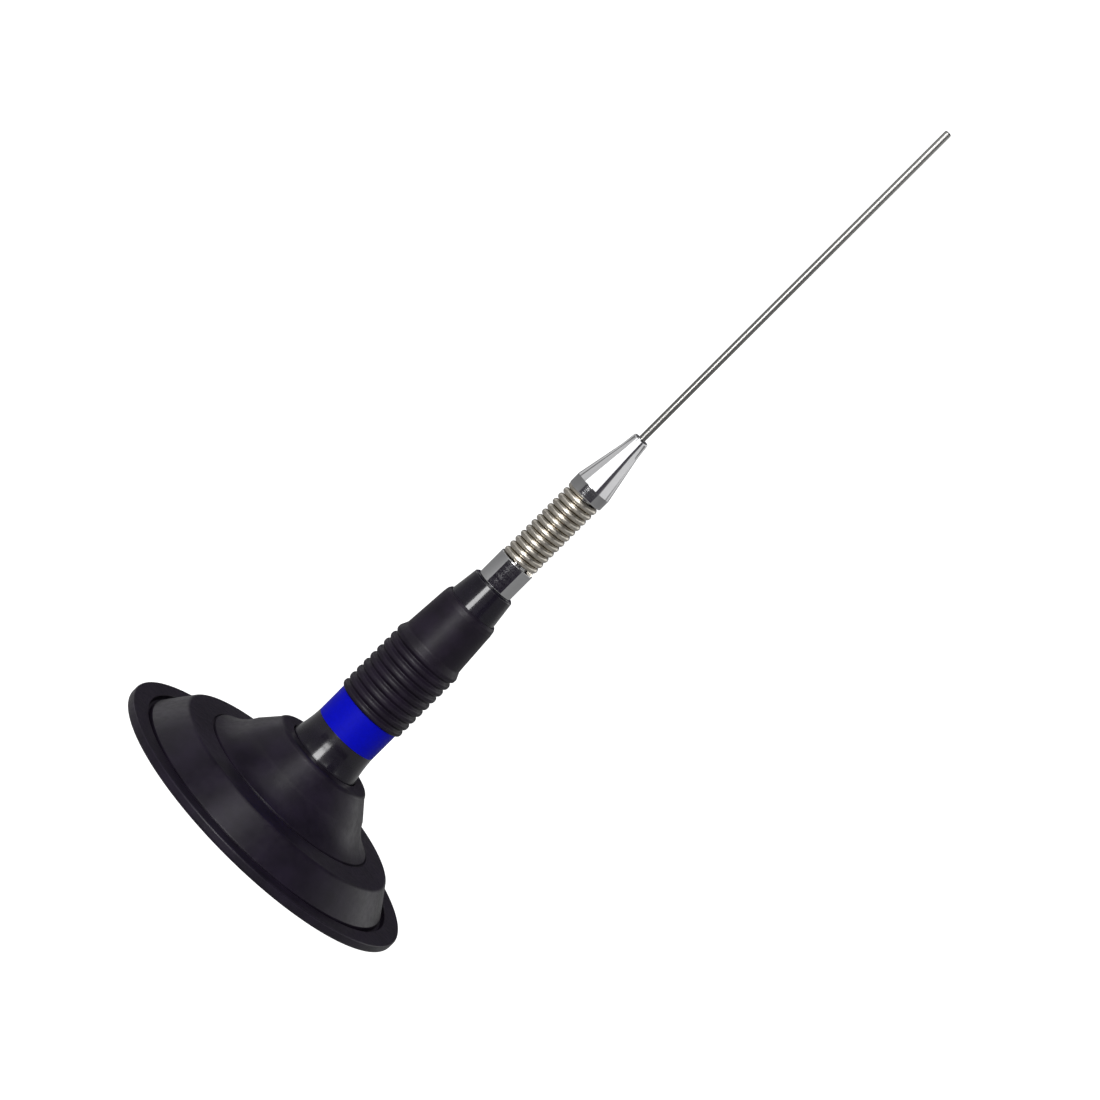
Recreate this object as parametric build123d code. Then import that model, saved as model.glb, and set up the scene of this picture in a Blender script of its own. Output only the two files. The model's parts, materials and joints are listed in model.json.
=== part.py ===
from build123d import *
from math import cos, hypot, pi, radians, sin
import os

# Mobile radio antenna on a round magnetic base. Sizes are in millimetres.
# The origin is under the middle of the base, and +Z runs up the whip.

# Clearances and small edges
glue_gap = 0.05        # between turned pieces that are bonded or screwed together
running_gap = 0.06     # radial, round what turns or slides
loose_gap = 0.3        # between a moving piece and its surroundings
seat_gap = 0.05        # between flat faces that meet when the antenna is screwed down
small_edge = 0.3       # chamfer on turned metal

# Rubber boot
rim_radius = 72.5
rim_height = 4.0
rim_round = 1.2
groove_width = 2.2
groove_depth = 2.4
wall_foot_radius = 62.4
shoulder_radius = 53.9
shoulder_height = 15.9
shoulder_round = 1.8
shelf_rise = 0.9       # the shelf climbs this much from the shoulder to the bell
bell_foot_radius = 41.0
bell_foot_step = 0.8
bell_waist_radius = 29.9
bell_waist_height = 27.4
bell_flare_sag = 1.6   # how far the flare bows in from a straight cone
bell_top_radius = 23.7
bell_top_height = 34.8
lip_round_radius = 20.6
lip_height = 36.8
lip_crown = 0.5        # how far the lip's round edge stands out from a straight bevel
boot_wall = 2.2
bell_wall = 3.5

# Magnet, dish and pad
pad_thickness = 0.8
dish_thickness = 1.8
magnet_dish_gap = 0.93  # between the magnet's edge and the inside of the dish
magnet_screw_gap = 4.2  # between the magnet's bore and the heads of the pedestal screws

# Pedestal that carries the stud
pedestal_top = 33.0
pedestal_wall = 3.2
pedestal_plate = 5.0
boss_radius = 4.5
screw_circle_radius = 22.0
screw_count = 3
screw_radius = 1.95
screw_head_radius = 3.8
screw_head_height = 2.4
screw_bite = 9.0       # how far the pedestal screws enter their bosses

# Stud, its nut and tags
stud_radius = 4.7625
stud_thread_length = 12.8
stud_flange_radius = 8.0
stud_flange_height = 1.2
stud_shank_radius = 3.95
stud_tail = 9.8        # shank below the pedestal's plate
tag_thickness = 0.8
tag_radius = 7.0
tag_width = 4.0
tag_reach = 12.0
lock_washer_thickness = 1.0
lock_washer_teeth = 8
nut_height = 6.5
nut_across_flats = 13.0

# Earth connection on the dish
earth_angle = 135.0
earth_circle_radius = 15.5
earth_screw_radius = 1.45
earth_head_radius = 2.8
earth_head_height = 2.0
earth_screw_tail = 1.5  # end of the earth screw below the dish
earth_tag_radius = 3.6
earth_tag_reach = 8.0

# Cable gland in the back of the bell
gland_height = 23.5
gland_bore_radius = 2.6
gland_radius = 4.8
gland_tip_radius = 3.8
gland_length = 18.5
gland_nose_length = 5.0
gland_nose_inset = 0.5  # the gland's outer end stands this far inside the bell's foot circle

# Neck and label
neck_foot_radius = 16.35
neck_waist_radius = 14.45
neck_taper_length = 12.4
neck_taper_sag = 0.25  # how far the taper bows in from a straight cone
label_height = 13.7
label_thickness = 0.18
neck_spigot_radius = 12.0
neck_spigot_length = 7.0
gasket_inner_radius = 10.5

# Threaded insert in the neck
insert_radius = 8.9
insert_length = 18.0
insert_bore_depth = 14.8
post_radius = 3.0
post_length = 22.0

# Coil housing
rib_count = 9
rib_pitch = 3.86
rib_crest_radius = 15.65
rib_groove_radius = 14.45
rib_crest_width = 1.8
housing_taper_start = 14.25
housing_taper_end = 12.95
housing_taper_length = 19.0
housing_lead = 3.8     # from the last rib's middle to the taper
shoulder_length = 3.2
shoulder_bevel = 1.05

# Coil
former_radius = 9.6
former_bore_radius = 6.4
former_length = 40.0
former_flange_thickness = 2.0
former_neck = 2.0      # plain end of the former above its upper flange
wire_radius = 0.6

# Upper collar and top insert
collar_foot_radius = 11.25
collar_top_radius = 9.65
collar_height = 12.3
collar_round = 0.6
top_insert_flange = 4.0
top_insert_flange_radius = 9.0
top_insert_shank = 10.0

# Ferrule, spring and braid
ferrule_radius = 8.15
ferrule_height = 13.0
ferrule_tail_radius = 5.0
ferrule_tail_length = 30.0
spigot_length = 6.3
spigot_radius = 4.65
spring_radius = 7.9
spring_length = 37.3
spring_wire_radius = 1.42
spring_pitch = 2.98
spring_wire_flats = 8  # flats round the wire, which stand for its round section
spring_turn_steps = 20 # straight lengths in one turn
braid_radius = 2.2

# Whip holder, its screws and the whip
skirt_radius = 8.125
skirt_height = 5.0
cone_height = 23.3
nose_radius = 3.55
nose_height = 3.5
bore_floor = 1.6       # metal left under the whip's bore
grub_radius = 1.45
grub_length = 3.0
grub_heights = (15.0, 21.0)   # above the bottom of the skirt
grub_socket_across_flats = 1.5
grub_socket_depth = 1.4
whip_radius = 1.5
whip_insertion = 27.8
whip_exposed = 166.2

# Radii and heights that follow from the sizes above
housing_bore_radius = neck_spigot_radius + glue_gap
shelf_height = shoulder_height + shelf_rise
dish_top = shoulder_height - boot_wall - glue_gap
dish_under = dish_top - dish_thickness
gland_outer_end = bell_foot_radius - gland_nose_inset
seat_height = pedestal_top + stud_flange_height + seat_gap
neck_shelf = lip_height + neck_taper_length
label_bottom = neck_shelf + glue_gap
housing_bottom = neck_shelf + label_height + 2 * glue_gap
first_rib = housing_bottom + rib_pitch / 3
last_rib = first_rib + rib_pitch * (rib_count - 1)
taper_top = last_rib + housing_lead + housing_taper_length
housing_top = taper_top + shoulder_length
former_bottom = housing_bottom + neck_spigot_length
former_top = former_bottom + former_length
collar_top = housing_top + collar_height
ferrule_top = collar_top + ferrule_height
spring_bottom = ferrule_top + seat_gap
spring_top = spring_bottom + spring_length
holder_bottom = spring_top + seat_gap
cone_bottom = holder_bottom + skirt_height
cone_top = cone_bottom + cone_height
holder_top = cone_top + nose_height


def turned(*points):
    """A solid of revolution about Z, from the (radius, height) corners of its section."""
    outline = Polyline(*points, close=True)
    return revolve(make_face(Plane.XZ * outline), Axis.Z)


def turned_curves(*curves):
    """A solid of revolution about Z, from lines and arcs drawn as (radius, height)."""
    return revolve(Plane.XZ * make_face(Curve() + list(curves)), Axis.Z)


def cylinder(radius, bottom, top):
    """A cylinder on the Z axis between two heights."""
    return Pos(0, 0, bottom) * extrude(Circle(radius), top - bottom)


def tube(outer_radius, inner_radius, bottom, top):
    """A plain tube on the Z axis between two heights."""
    return turned((inner_radius, bottom), (outer_radius, bottom), (outer_radius, top), (inner_radius, top))


def on_circle(radius, angle, height=0.0):
    """A place at an angle in degrees round the Z axis."""
    return Pos(radius * cos(radians(angle)), radius * sin(radians(angle)), height)


def boot_inner_wall():
    """The foot and the top of the boot's sloping inner wall, parallel to the outer one."""
    run = wall_foot_radius - shoulder_radius
    rise = shoulder_height - rim_height
    slope = hypot(run, rise)
    across = boot_wall * rise / slope
    down = boot_wall * run / slope
    foot = (wall_foot_radius - across, rim_height - down)
    top = (shoulder_radius - across, shoulder_height - boot_wall)
    return foot, top


def bell_inner_radius(height):
    """Radius of the cone inside the bell at a height."""
    low = shoulder_height - boot_wall
    foot = bell_foot_radius - bell_wall
    top = bell_top_radius - bell_wall + bell_foot_step
    return foot + (top - foot) * (height - low) / (pedestal_top - low)


def base_boot():
    foot, top = boot_inner_wall()
    groove_floor = rim_height - groove_depth
    shelf_inner = (bell_foot_radius + bell_foot_step, shelf_height)
    bell_foot = (bell_foot_radius, shelf_height + bell_foot_step / 2)
    bell_waist = (bell_waist_radius, bell_waist_height)
    bell_top = (bell_top_radius, bell_top_height)
    flare_radius = (bell_foot_radius + bell_waist_radius) / 2 - bell_flare_sag
    flare = (flare_radius, (shelf_height + bell_waist_height) / 2)
    lip_bore = neck_foot_radius + loose_gap
    lip_edge = (
        (bell_top_radius + lip_round_radius) / 2 + lip_crown,
        (bell_top_height + lip_height) / 2 + lip_crown,
    )
    outside = Polyline(
        (foot[0], 0),
        (rim_radius - rim_round, 0),
        (rim_radius, rim_round),
        (rim_radius, rim_height - rim_round / 2),
        (rim_radius - rim_round / 2, rim_height),
        (wall_foot_radius + groove_width, rim_height),
        (wall_foot_radius + groove_width, groove_floor),
        (wall_foot_radius, groove_floor),
        (wall_foot_radius, rim_height),
        (shoulder_radius + shoulder_round / 2, shoulder_height - shoulder_round),
        (shoulder_radius - shoulder_round, shoulder_height),
        shelf_inner,
        (bell_foot_radius + bell_foot_step, shelf_height - bell_foot_step),
        (bell_foot_radius, shelf_height - bell_foot_step),
        bell_foot,
    )
    inside = Polyline(
        (lip_round_radius, lip_height),
        (lip_bore, lip_height),
        (lip_bore, pedestal_top),
        (bell_inner_radius(pedestal_top), pedestal_top),
        (bell_inner_radius(top[1]), top[1]),
        top,
        foot,
        (foot[0], 0),
    )
    boot = turned_curves(
        outside,
        ThreePointArc(bell_foot, flare, bell_waist),
        Line(bell_waist, bell_top),
        ThreePointArc(bell_top, lip_edge, (lip_round_radius, lip_height)),
        inside,
    )
    return boot - gland_hole()


def gland_hole():
    """The way through the bell and the pedestal for the gland, towards the back."""
    length = bell_foot_radius
    return Pos(0, 0, gland_height) * Rot(-90, 0, 0) * extrude(Circle(gland_radius + glue_gap), length)


def cable_gland():
    section = Polyline(
        (gland_bore_radius, gland_outer_end - gland_length),
        (gland_radius, gland_outer_end - gland_length),
        (gland_radius, gland_outer_end - gland_nose_length),
        (gland_tip_radius, gland_outer_end),
        (gland_bore_radius, gland_outer_end),
        close=True,
    )
    upright = revolve(make_face(Plane.XZ * section), Axis.Z)
    return Pos(0, 0, gland_height) * Rot(-90, 0, 0) * upright


def dish_wall():
    """The outer foot, outer top, inner top and inner foot of the dish's sloping wall."""
    foot, top = boot_inner_wall()
    outer_foot = (foot[0] - loose_gap, foot[1])
    outer_top = (top[0] - loose_gap, dish_top)
    lean = (outer_foot[0] - outer_top[0]) / (dish_top - foot[1])
    across = dish_thickness * hypot(1, lean)
    inner_top = (outer_top[0] + lean * dish_thickness - across, dish_under)
    inner_foot = (outer_foot[0] - across, foot[1])
    return outer_foot, outer_top, inner_top, inner_foot


def magnet_dish():
    outer_foot, outer_top, inner_top, inner_foot = dish_wall()
    dish = turned(
        (0, dish_under),
        inner_top,
        inner_foot,
        (inner_foot[0], pad_thickness),
        (outer_foot[0], pad_thickness),
        outer_foot,
        outer_top,
        (0, dish_top),
    )
    for place in pedestal_screw_places():
        dish -= place * cylinder(screw_radius + glue_gap, dish_under, dish_top)
    earth = on_circle(earth_circle_radius, earth_angle)
    return dish - earth * cylinder(earth_screw_radius + glue_gap, dish_under, dish_top)


def ring_magnet():
    outer_foot, outer_top, inner_top, inner_foot = dish_wall()
    edge = min(inner_top[0], inner_foot[0]) - magnet_dish_gap
    bore = screw_circle_radius + screw_head_radius + magnet_screw_gap
    return tube(edge, bore, pad_thickness, dish_under)


def paint_guard():
    return cylinder(boot_inner_wall()[0][0] - loose_gap, 0, pad_thickness)


def pedestal_screw_places():
    turn = 360 / screw_count
    return [on_circle(screw_circle_radius, turn * n - 90) for n in range(screw_count)]


def stud_pedestal():
    foot_radius = bell_inner_radius(dish_top) - loose_gap
    top_radius = bell_inner_radius(pedestal_top) - loose_gap
    plate_under = pedestal_top - pedestal_plate
    plate_radius = bell_inner_radius(plate_under) - loose_gap
    outer = turned((0, dish_top), (foot_radius, dish_top), (top_radius, pedestal_top), (0, pedestal_top))
    hollow = turned(
        (0, dish_top),
        (foot_radius - pedestal_wall, dish_top),
        (plate_radius - pedestal_wall, plate_under),
        (0, plate_under),
    )
    pedestal = outer - hollow
    for place in pedestal_screw_places():
        boss = place * cylinder(boss_radius, dish_top, plate_under)
        pedestal += boss & outer
    for place in pedestal_screw_places():
        pedestal -= place * cylinder(screw_radius + glue_gap, dish_top, dish_top + screw_bite + loose_gap)
    pedestal -= cylinder(stud_shank_radius + glue_gap, plate_under, pedestal_top)
    return pedestal - gland_hole()


def pan_head_screw(radius, head_radius, head_height, length):
    """A screw with its head on top of z = 0 and its shank below."""
    return turned(
        (0, -length),
        (radius - small_edge, -length),
        (radius, -length + small_edge),
        (radius, 0),
        (head_radius, 0),
        (head_radius, head_height * 0.6),
        (head_radius * 0.7, head_height),
        (0, head_height),
    )


def pedestal_screws():
    screw = pan_head_screw(screw_radius, screw_head_radius, screw_head_height, dish_thickness + screw_bite)
    from_below = Pos(0, 0, dish_under) * Rot(180, 0, 0) * screw
    return Compound([place * from_below for place in pedestal_screw_places()])


def ring_tag(hole_radius, ring_radius, reach):
    """A flat ring terminal with a tongue along +X."""
    outline = Circle(ring_radius) + Pos(reach / 2, 0) * Rectangle(reach, min(tag_width, ring_radius))
    return extrude(outline - Circle(hole_radius), tag_thickness)


def earth_tag():
    tag = ring_tag(earth_screw_radius + glue_gap, earth_tag_radius, earth_tag_reach)
    return on_circle(earth_circle_radius, earth_angle, dish_top) * Rot(0, 0, 90) * tag


def earth_screw():
    length = tag_thickness + dish_thickness + earth_screw_tail
    screw = pan_head_screw(earth_screw_radius, earth_head_radius, earth_head_height, length)
    return on_circle(earth_circle_radius, earth_angle, dish_top + tag_thickness) * screw


def mount_stud():
    plate_under = pedestal_top - pedestal_plate
    flange_top = pedestal_top + stud_flange_height
    thread_top = flange_top + stud_thread_length
    return turned(
        (0, plate_under - stud_tail),
        (stud_shank_radius - small_edge, plate_under - stud_tail),
        (stud_shank_radius, plate_under - stud_tail + small_edge),
        (stud_shank_radius, pedestal_top),
        (stud_flange_radius, pedestal_top),
        (stud_flange_radius, flange_top),
        (stud_radius, flange_top),
        (stud_radius, thread_top - 3 * small_edge),
        (stud_radius - 3 * small_edge, thread_top),
        (0, thread_top),
    )


def centre_tag():
    tag = ring_tag(stud_shank_radius + glue_gap, tag_radius, tag_reach)
    return Pos(0, 0, pedestal_top - pedestal_plate - tag_thickness) * Rot(0, 0, 90) * tag


def stud_lock_washer():
    bottom = pedestal_top - pedestal_plate - tag_thickness - lock_washer_thickness
    washer = tube(tag_radius, stud_shank_radius + glue_gap, bottom, bottom + lock_washer_thickness)
    notch_width = tag_radius * radians(360 / lock_washer_teeth) / 3
    notch = Pos(tag_radius, 0, bottom) * Box(notch_width, notch_width, 3 * lock_washer_thickness)
    for n in range(lock_washer_teeth):
        washer -= Rot(0, 0, 360 / lock_washer_teeth * n) * notch
    return washer


def stud_nut():
    top = pedestal_top - pedestal_plate - tag_thickness - lock_washer_thickness
    hexagon = RegularPolygon(nut_across_flats / 2, 6, major_radius=False)
    blank = Pos(0, 0, top - nut_height) * extrude(hexagon - Circle(stud_shank_radius + glue_gap), nut_height)
    corner = nut_across_flats / 2 + 3 * small_edge
    rounding = turned(
        (0, top - nut_height),
        (corner - small_edge, top - nut_height),
        (corner + small_edge, top - nut_height + 2 * small_edge),
        (corner + small_edge, top - 2 * small_edge),
        (corner - small_edge, top),
        (0, top),
    )
    return blank & rounding


def neck_gasket():
    outer = neck_foot_radius - loose_gap
    return tube(outer, gasket_inner_radius, pedestal_top + seat_gap, seat_height - seat_gap)


def neck():
    label_seat = neck_waist_radius - label_thickness - glue_gap
    insert_top = seat_height + insert_length + glue_gap
    belly_radius = (neck_foot_radius + neck_waist_radius) / 2 - neck_taper_sag
    belly = (belly_radius, lip_height + neck_taper_length * 0.45)
    lower = Polyline(
        (insert_radius + glue_gap, seat_height),
        (neck_foot_radius, seat_height),
        (neck_foot_radius, lip_height),
    )
    upper = Polyline(
        (neck_waist_radius, neck_shelf),
        (label_seat, neck_shelf),
        (label_seat, housing_bottom - glue_gap),
        (neck_spigot_radius, housing_bottom - glue_gap),
        (neck_spigot_radius, former_bottom - glue_gap),
        (post_radius + glue_gap, former_bottom - glue_gap),
        (post_radius + glue_gap, insert_top),
        (insert_radius + glue_gap, insert_top),
        (insert_radius + glue_gap, seat_height),
    )
    taper = ThreePointArc((neck_foot_radius, lip_height), belly, (neck_waist_radius, neck_shelf))
    return turned_curves(lower, taper, upper)


def label_band():
    outer = neck_waist_radius - glue_gap / 2
    return tube(outer, outer - label_thickness, label_bottom, label_bottom + label_height)


def thread_insert():
    top = seat_height + insert_length
    bore = stud_radius + running_gap
    bore_top = seat_height + insert_bore_depth
    return turned(
        (bore, seat_height),
        (insert_radius, seat_height),
        (insert_radius, top),
        (post_radius, top),
        (post_radius, top + post_length),
        (0, top + post_length),
        (0, bore_top),
        (bore, bore_top),
    )


def coil_housing():
    half_crest = rib_crest_width / 2
    section = [(housing_bore_radius, housing_bottom), (rib_groove_radius, housing_bottom)]
    for n in range(rib_count):
        middle = first_rib + rib_pitch * n
        section.append((rib_crest_radius, middle - half_crest))
        section.append((rib_crest_radius, middle + half_crest))
        if n < rib_count - 1:
            section.append((rib_groove_radius, middle + rib_pitch / 2))
    section += [
        (housing_taper_start, last_rib + housing_lead),
        (housing_taper_end, taper_top),
        (housing_taper_end - shoulder_bevel / 3, taper_top + shoulder_length * 0.65),
        (housing_taper_end - shoulder_bevel, housing_top),
        (collar_foot_radius + glue_gap, housing_top),
        (collar_foot_radius + glue_gap, former_top - glue_gap),
        (housing_bore_radius, former_top - glue_gap),
    ]
    return turned(*section)


def coil_former():
    flange = housing_bore_radius - glue_gap
    low_flange = former_bottom + former_flange_thickness
    high_flange = former_top - former_neck - former_flange_thickness
    return turned(
        (former_bore_radius, former_bottom),
        (flange, former_bottom),
        (flange, low_flange),
        (former_radius, low_flange),
        (former_radius, high_flange),
        (flange, high_flange),
        (flange, former_top - former_neck),
        (former_radius, former_top - former_neck),
        (former_radius, former_top),
        (former_bore_radius, former_top),
    )


def coil_winding():
    bottom = former_bottom + former_flange_thickness + glue_gap
    top = former_top - former_neck - former_flange_thickness - glue_gap
    inner = former_radius + glue_gap
    return tube(inner + 2 * wire_radius, inner, bottom, top)


def top_insert():
    bore = ferrule_tail_radius + glue_gap
    shank = former_bore_radius - glue_gap
    return turned(
        (bore, former_top - top_insert_shank),
        (shank, former_top - top_insert_shank),
        (shank, former_top),
        (top_insert_flange_radius, former_top),
        (top_insert_flange_radius, former_top + top_insert_flange),
        (bore, former_top + top_insert_flange),
    )


def upper_collar():
    tail_bore = ferrule_tail_radius + glue_gap
    pocket = top_insert_flange_radius + glue_gap
    pocket_top = former_top + top_insert_flange + glue_gap
    return turned(
        (pocket, former_top + glue_gap),
        (collar_foot_radius, former_top + glue_gap),
        (collar_foot_radius, housing_top),
        (collar_top_radius + collar_round / 6, collar_top - collar_round),
        (collar_top_radius - collar_round, collar_top),
        (tail_bore, collar_top),
        (tail_bore, pocket_top),
        (pocket, pocket_top),
    )


def spring_ferrule():
    return turned(
        (0, collar_top - ferrule_tail_length),
        (ferrule_tail_radius, collar_top - ferrule_tail_length),
        (ferrule_tail_radius, collar_top),
        (ferrule_radius, collar_top),
        (ferrule_radius, ferrule_top - small_edge),
        (ferrule_radius - small_edge, ferrule_top),
        (spigot_radius, ferrule_top),
        (spigot_radius, ferrule_top + spigot_length - small_edge),
        (spigot_radius - small_edge, ferrule_top + spigot_length),
        (0, ferrule_top + spigot_length),
    )


def spring_wire_section(step):
    """The corners of the spring's wire at a step along the coil."""
    coil_radius = spring_radius - spring_wire_radius
    turn = 2 * pi * step / spring_turn_steps
    height = spring_bottom - spring_wire_radius / 4 + spring_pitch * step / spring_turn_steps
    corners = []
    for n in range(spring_wire_flats):
        round_wire = 2 * pi * n / spring_wire_flats
        radius = coil_radius + spring_wire_radius * cos(round_wire)
        rise = spring_wire_radius * sin(round_wire)
        corners.append(Vector(radius * cos(turn), radius * sin(turn), height + rise))
    return corners


def spring():
    """A close wound right-handed spring with its ends ground flat."""
    turns = (spring_length + spring_wire_radius / 2) / spring_pitch
    steps = round(turns * spring_turn_steps)
    sections = [spring_wire_section(step) for step in range(steps + 1)]
    triangles = [sections[0], sections[-1]]
    for near, far in zip(sections, sections[1:]):
        for n in range(spring_wire_flats):
            after = (n + 1) % spring_wire_flats
            triangles.append((near[n], near[after], far[after]))
            triangles.append((near[n], far[after], far[n]))
    wire = Solid(Shell([Face(Wire.make_polygon(corners)) for corners in triangles]))
    return wire & cylinder(spring_radius + spring_wire_radius, spring_bottom, spring_top)


def spring_braid():
    bottom = ferrule_top + spigot_length + seat_gap
    top = holder_bottom - spigot_length - seat_gap
    return cylinder(braid_radius, bottom, top)


def grub_places():
    """Each grub screw's place, with its tip near the whip and its axis to the back."""
    start = whip_radius + running_gap
    return [Pos(0, start, holder_bottom + height) * Rot(-90, 0, 0) for height in grub_heights]


def whip_holder():
    holder = turned(
        (0, holder_bottom - spigot_length),
        (spigot_radius - small_edge, holder_bottom - spigot_length),
        (spigot_radius, holder_bottom - spigot_length + small_edge),
        (spigot_radius, holder_bottom),
        (skirt_radius - small_edge, holder_bottom),
        (skirt_radius, holder_bottom + small_edge),
        (skirt_radius, cone_bottom),
        (nose_radius, cone_top),
        (nose_radius, holder_top - small_edge),
        (nose_radius - small_edge, holder_top),
        (0, holder_top),
    )
    holder -= cylinder(whip_radius + running_gap, holder_bottom - spigot_length + bore_floor, holder_top)
    for place in grub_places():
        holder -= place * extrude(Circle(grub_radius + glue_gap), skirt_radius)
    return holder


def grub_screws():
    socket = RegularPolygon(grub_socket_across_flats / 2, 6, major_radius=False)
    screw = turned(
        (0, small_edge),
        (grub_radius - small_edge, small_edge),
        (grub_radius, 2 * small_edge),
        (grub_radius, grub_length),
        (0, grub_length),
    )
    screw -= Pos(0, 0, grub_length - grub_socket_depth) * extrude(socket, grub_socket_depth)
    return Compound([place * screw for place in grub_places()])


def whip():
    rod = cylinder(whip_radius, holder_top - whip_insertion, holder_top + whip_exposed)
    return fillet(rod.edges().sort_by(Axis.Z)[-1], whip_radius * 0.95)


sub_parts = (
    base_boot,
    magnet_dish,
    ring_magnet,
    paint_guard,
    stud_pedestal,
    pedestal_screws,
    mount_stud,
    centre_tag,
    stud_lock_washer,
    stud_nut,
    earth_tag,
    earth_screw,
    cable_gland,
    neck_gasket,
    neck,
    label_band,
    thread_insert,
    coil_housing,
    coil_former,
    coil_winding,
    top_insert,
    upper_collar,
    spring_ferrule,
    spring,
    spring_braid,
    whip_holder,
    grub_screws,
    whip,
)

os.makedirs("parts", exist_ok=True)
for sub_part in sub_parts:
    export_step(sub_part(), f"parts/{sub_part.__name__}.step")
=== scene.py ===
import json
from math import atan2, ceil, cos, hypot, pi, radians, sin, tan

import bpy
from mathutils import Matrix, Vector


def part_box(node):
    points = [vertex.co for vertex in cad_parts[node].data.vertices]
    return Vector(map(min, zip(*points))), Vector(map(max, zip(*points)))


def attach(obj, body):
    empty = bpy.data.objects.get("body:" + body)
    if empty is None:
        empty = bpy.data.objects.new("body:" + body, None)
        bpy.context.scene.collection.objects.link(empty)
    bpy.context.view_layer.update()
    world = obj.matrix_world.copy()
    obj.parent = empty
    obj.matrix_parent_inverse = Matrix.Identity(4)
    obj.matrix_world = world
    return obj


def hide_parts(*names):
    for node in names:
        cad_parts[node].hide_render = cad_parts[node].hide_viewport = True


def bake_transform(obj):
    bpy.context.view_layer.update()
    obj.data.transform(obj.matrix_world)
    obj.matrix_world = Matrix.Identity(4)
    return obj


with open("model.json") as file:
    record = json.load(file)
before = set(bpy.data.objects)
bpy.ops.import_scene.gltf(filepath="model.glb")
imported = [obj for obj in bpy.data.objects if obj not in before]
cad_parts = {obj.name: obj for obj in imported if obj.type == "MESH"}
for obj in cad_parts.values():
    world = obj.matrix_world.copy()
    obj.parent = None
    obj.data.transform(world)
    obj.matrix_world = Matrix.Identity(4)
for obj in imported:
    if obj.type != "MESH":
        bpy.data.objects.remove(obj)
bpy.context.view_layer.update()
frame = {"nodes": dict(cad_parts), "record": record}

bl_info = {
    "name": "Mobile antenna dressing",
    "version": (1, 0, 0),
    "blender": (4, 5, 0),
    "location": "3D View > Sidebar > Antenna",
    "description": "Builds the finished look of a mobile radio antenna around its CAD frame",
    "category": "Object",
}

MM = 0.001

# Sizes in millimetres that several pieces share and the frame's boxes don't give
GAP = 0.05  # between pieces that are bonded or seated on each other
SEAM = 0.01  # between the first and the last point of a small ring's profile, on a straight side
PEDESTAL_TOP = 33.0
LIP_HEIGHT = 36.8
LABEL_THICKNESS = 0.18
NECK_SPIGOT_RADIUS = 12.0
FERRULE_TAIL_RADIUS = 5.0
SPRING_SPIGOT_RADIUS = 4.65

# How the meshes are drawn
SHARP = 32.0  # degrees past which an edge stays sharp
DOUBLED = 1e-6  # metres within which points are merged
ARC_STEP = 14.0  # degrees between two points of a rounding
EDGE_SHARE = 0.48  # the most of an edge that one rounding takes up
SUPPORT_SHARE = 0.25  # how far beside a rounding its support points lie, as a share of its reach
SUPPORT_MOST = 0.15  # millimetres that they lie away at most


def span(node):
    """Bottom, top and outer radius of an upright CAD node, in millimetres."""
    low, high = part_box(node)
    return low[2] / MM, high[2] / MM, high[0] / MM


def length(label, text, default):
    """A length property, whose default is given in millimetres."""
    return bpy.props.FloatProperty(
        name=label, description=text, default=default * MM, precision=5, subtype="DISTANCE", unit="LENGTH"
    )


def colour(label, text, default):
    """A colour property, in linear red, green and blue."""
    return bpy.props.FloatVectorProperty(
        name=label, description=text, default=default, size=3, min=0.0, max=1.0, subtype="COLOR"
    )


class AntennaSizes(bpy.types.PropertyGroup):
    """Sizes that the CAD frame leaves open, or that several pieces share."""

    rib_crest: length("Rib crest", "Width of the flat on top of each rib", 1.5)
    rib_round: length("Rib rounding", "Rounding at the edges of each rib", 1.1)
    groove_round: length("Groove rounding", "Rounding at the bottom of the grooves between ribs", 0.5)
    wire_radius: length("Spring wire", "Radius of the spring's wire", 1.42)
    spring_pitch: length("Spring pitch", "Rise of the spring in one turn", 2.98)
    thread_pitch: length("Stud pitch", "Rise of the stud's thread in one turn", 25.4 / 24)
    thread_depth: length("Stud thread depth", "From crest to root of the stud's thread", 0.62)
    socket_width: length("Grub socket", "Across the flats of the sockets in the grub screws", 1.5)


class AntennaColours(bpy.types.PropertyGroup):
    """Base colours of the finishes that show."""

    rubber: colour("Rubber", "The boot", (0.008, 0.0055, 0.0118))
    gloss_black: colour("Gloss black", "The neck and the upper collar", (0.0045, 0.003, 0.008))
    housing: colour("Housing", "The ribbed coil housing", (0.0078, 0.005, 0.0112))
    label: colour("Label", "The plain film round the neck", (0.0005, 0.002, 0.42))
    chrome: colour("Chrome", "The ferrule and the whip's holder", (0.66, 0.66, 0.67))
    spring: colour("Spring", "The coil spring", (0.64, 0.6, 0.53))
    whip: colour("Whip", "The whip", (0.29, 0.287, 0.276))


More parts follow.
